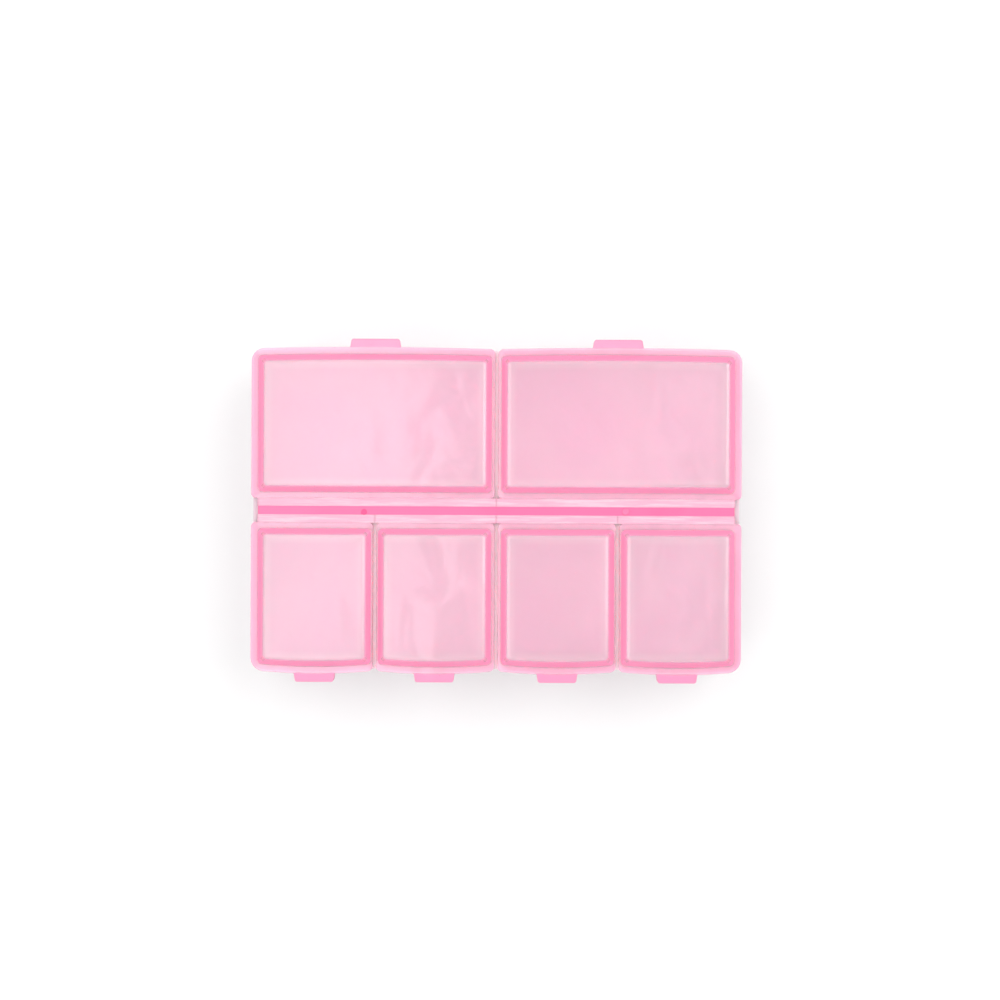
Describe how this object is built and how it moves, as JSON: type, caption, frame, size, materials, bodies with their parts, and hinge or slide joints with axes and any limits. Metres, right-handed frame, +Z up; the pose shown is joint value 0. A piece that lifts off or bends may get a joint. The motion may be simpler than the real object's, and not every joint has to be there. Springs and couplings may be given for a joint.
{
  "type": "pill organiser",
  "caption": "Translucent pink pocket pill organiser: a shallow tray with long rear and short front compartments under snap lids on living hinges.",
  "frame": {"origin": "on the table, under the middle of the closed box", "axes": "+X along the box to the right, +Y towards the two long rear compartments, +Z up out of the lids"},
  "size_m": [0.094, 0.0658, 0.021],
  "materials": {
    "lid_plastic": "translucent pink polypropylene, satin, lightly frosted",
    "film_plastic": "translucent pink polypropylene film, stress-whitened along the fold",
    "spine_plastic": "translucent pink polypropylene, thick section, satin",
    "tray_plastic": "pale translucent pink polypropylene, satin"
  },
  "bodies": {
    "tray_body": {"tray": "tray_plastic", "hinge_spine": "spine_plastic", "hinge_film_rear_left": "film_plastic", "hinge_film_rear_right": "film_plastic", "hinge_film_front_1": "film_plastic", "hinge_film_front_2": "film_plastic", "hinge_film_front_3": "film_plastic", "hinge_film_front_4": "film_plastic"},
    "lid_rear_left_body": {"lid_rear_left": "lid_plastic"},
    "lid_rear_right_body": {"lid_rear_right": "lid_plastic"},
    "lid_front_1_body": {"lid_front_1": "lid_plastic"},
    "lid_front_2_body": {"lid_front_2": "lid_plastic"},
    "lid_front_3_body": {"lid_front_3": "lid_plastic"},
    "lid_front_4_body": {"lid_front_4": "lid_plastic"}
  },
  "joints": [
    {"name": "lid_rear_left_hinge", "type": "hinge", "parent": "tray_body", "child": "lid_rear_left_body", "pos_m": [-0.02328, 0.00159, 0.01965], "axis": [1, 0, 0], "range_deg": [0, 90]},
    {"name": "lid_rear_right_hinge", "type": "hinge", "parent": "tray_body", "child": "lid_rear_right_body", "pos_m": [0.02328, 0.00159, 0.01965], "axis": [1, 0, 0], "range_deg": [0, 90]},
    {"name": "lid_front_1_hinge", "type": "hinge", "parent": "tray_body", "child": "lid_front_1_body", "pos_m": [-0.03478, -0.00159, 0.01965], "axis": [-1, 0, 0], "range_deg": [0, 90]},
    {"name": "lid_front_2_hinge", "type": "hinge", "parent": "tray_body", "child": "lid_front_2_body", "pos_m": [-0.01178, -0.00159, 0.01965], "axis": [-1, 0, 0], "range_deg": [0, 90]},
    {"name": "lid_front_3_hinge", "type": "hinge", "parent": "tray_body", "child": "lid_front_3_body", "pos_m": [0.01178, -0.00159, 0.01965], "axis": [-1, 0, 0], "range_deg": [0, 90]},
    {"name": "lid_front_4_hinge", "type": "hinge", "parent": "tray_body", "child": "lid_front_4_body", "pos_m": [0.03478, -0.00159, 0.01965], "axis": [-1, 0, 0], "range_deg": [0, 90]}
  ]
}
